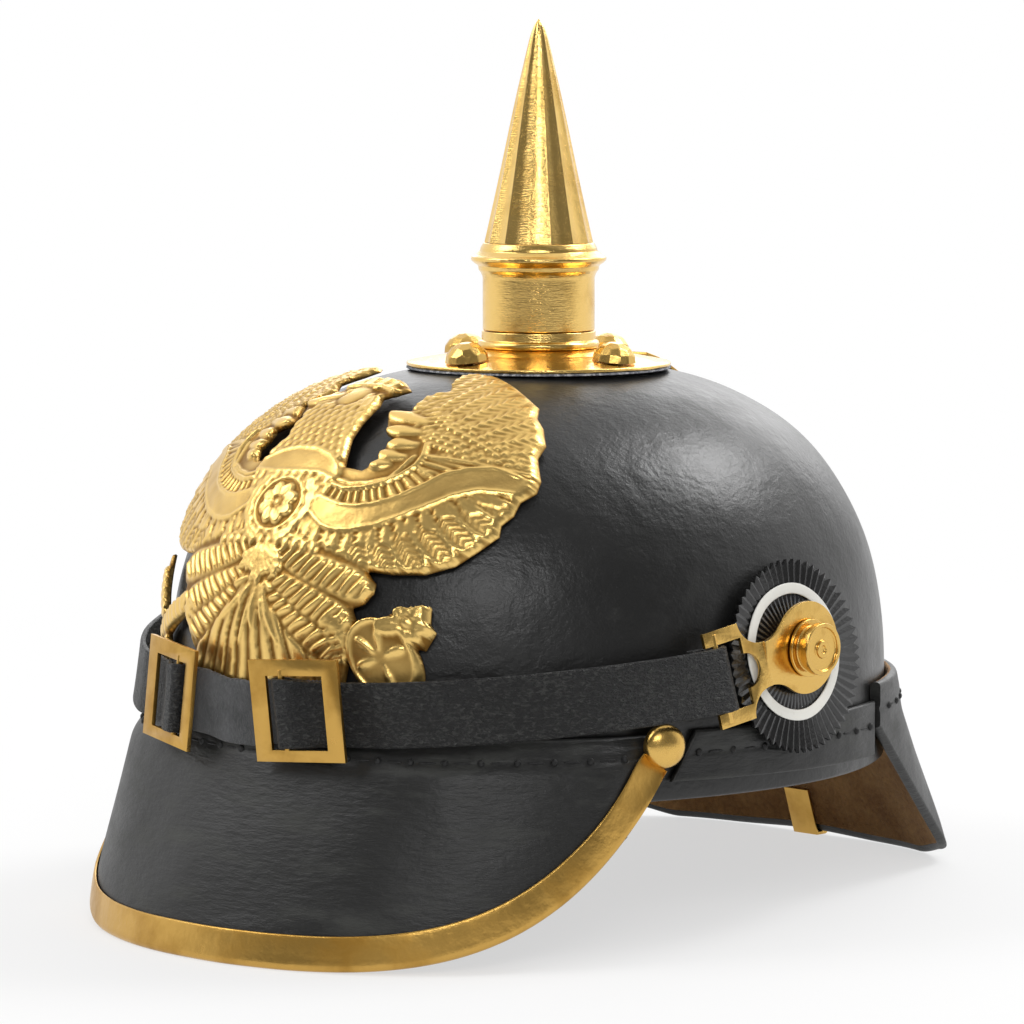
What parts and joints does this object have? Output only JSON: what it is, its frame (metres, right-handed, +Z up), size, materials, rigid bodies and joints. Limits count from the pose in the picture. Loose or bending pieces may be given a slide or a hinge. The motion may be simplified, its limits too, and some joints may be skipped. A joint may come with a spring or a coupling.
{
  "type": "military helmet",
  "caption": "Spiked leather parade helmet with brass front plate, brass-edged visor, neck guard, side cockades and a chin strap.",
  "frame": {"origin": "on the table, under the middle of the helmet's own box", "axes": "+Z up from the table, the wearer looks along -Y, +X to the wearer's left"},
  "size_m": [0.2182, 0.2634, 0.2511],
  "materials": {
    "black_leather": "gloss",
    "matte_leather": "matte",
    "brown_leather": "matte",
    "brass": "polished",
    "stamped_brass": "polished",
    "white_enamel": "gloss",
    "felt": "matte",
    "thread": "matte",
    "cord": "matte",
    "cockade_black": "satin"
  },
  "bodies": {
    "shell": {"skull": "black_leather", "front_visor": "black_leather", "visor_lining": "matte_leather", "visor_trim": "brass", "trim_studs": "brass", "neck_guard": "black_leather", "side_flap_left": "black_leather", "side_flap_right": "black_leather", "rear_spine": "brass", "spine_screws": "brass", "visor_thread": "thread", "guard_thread": "thread", "flap_thread": "thread", "sweatband": "brown_leather", "draw_cord": "cord", "base_gasket": "felt", "spike_base": "brass", "dome_studs": "brass", "stud_nuts": "brass", "eagle_plate": "stamped_brass", "plate_posts": "brass", "plate_nuts": "brass", "cockade_left": "cockade_black", "cockade_right": "cockade_black", "hoop_left": "white_enamel", "hoop_right": "white_enamel", "side_post_left": "brass", "side_post_right": "brass", "post_nuts": "brass"},
    "spike_collar": {"spike_collar": "brass"},
    "spike": {"spike_neck": "brass", "spike_point": "brass"},
    "chin_strap": {"lug_left": "brass", "lug_right": "brass", "strap_left": "matte_leather", "strap_right": "matte_leather", "middle_strap": "matte_leather"},
    "buckle_left": {"buckle_left": "brass"},
    "buckle_right": {"buckle_right": "brass"}
  },
  "joints": [
    {"name": "spike_lift", "type": "slide", "parent": "shell", "child": "spike_collar", "axis": [0, 0.0156, 0.9999], "range_m": [0, 0.006]},
    {"name": "spike_turn", "type": "hinge", "parent": "spike_collar", "child": "spike", "pos_m": [0, 0.00988, 0.16201], "axis": [0, 0.0156, 0.9999], "range_deg": [0, 1440]},
    {"name": "strap_swing", "type": "hinge", "parent": "shell", "child": "chin_strap", "pos_m": [0, 0.00739, 0.07923], "axis": [-1, 0, 0], "range_deg": [0, 55]},
    {"name": "buckle_left_tilt", "type": "hinge", "parent": "chin_strap", "child": "buckle_left", "pos_m": [0.02032, -0.11227, 0.06648], "axis": [0.0517, 0.0675, -0.9964], "range_deg": [0, 6]},
    {"name": "buckle_right_tilt", "type": "hinge", "parent": "chin_strap", "child": "buckle_right", "pos_m": [-0.02359, -0.11147, 0.06653], "axis": [0.091, 0.0604, 0.994], "range_deg": [0, 6]}
  ],
  "couplings": [
    {"joint": "spike_turn", "follows": "spike_lift", "rad_per_m": 4188.8}
  ]
}
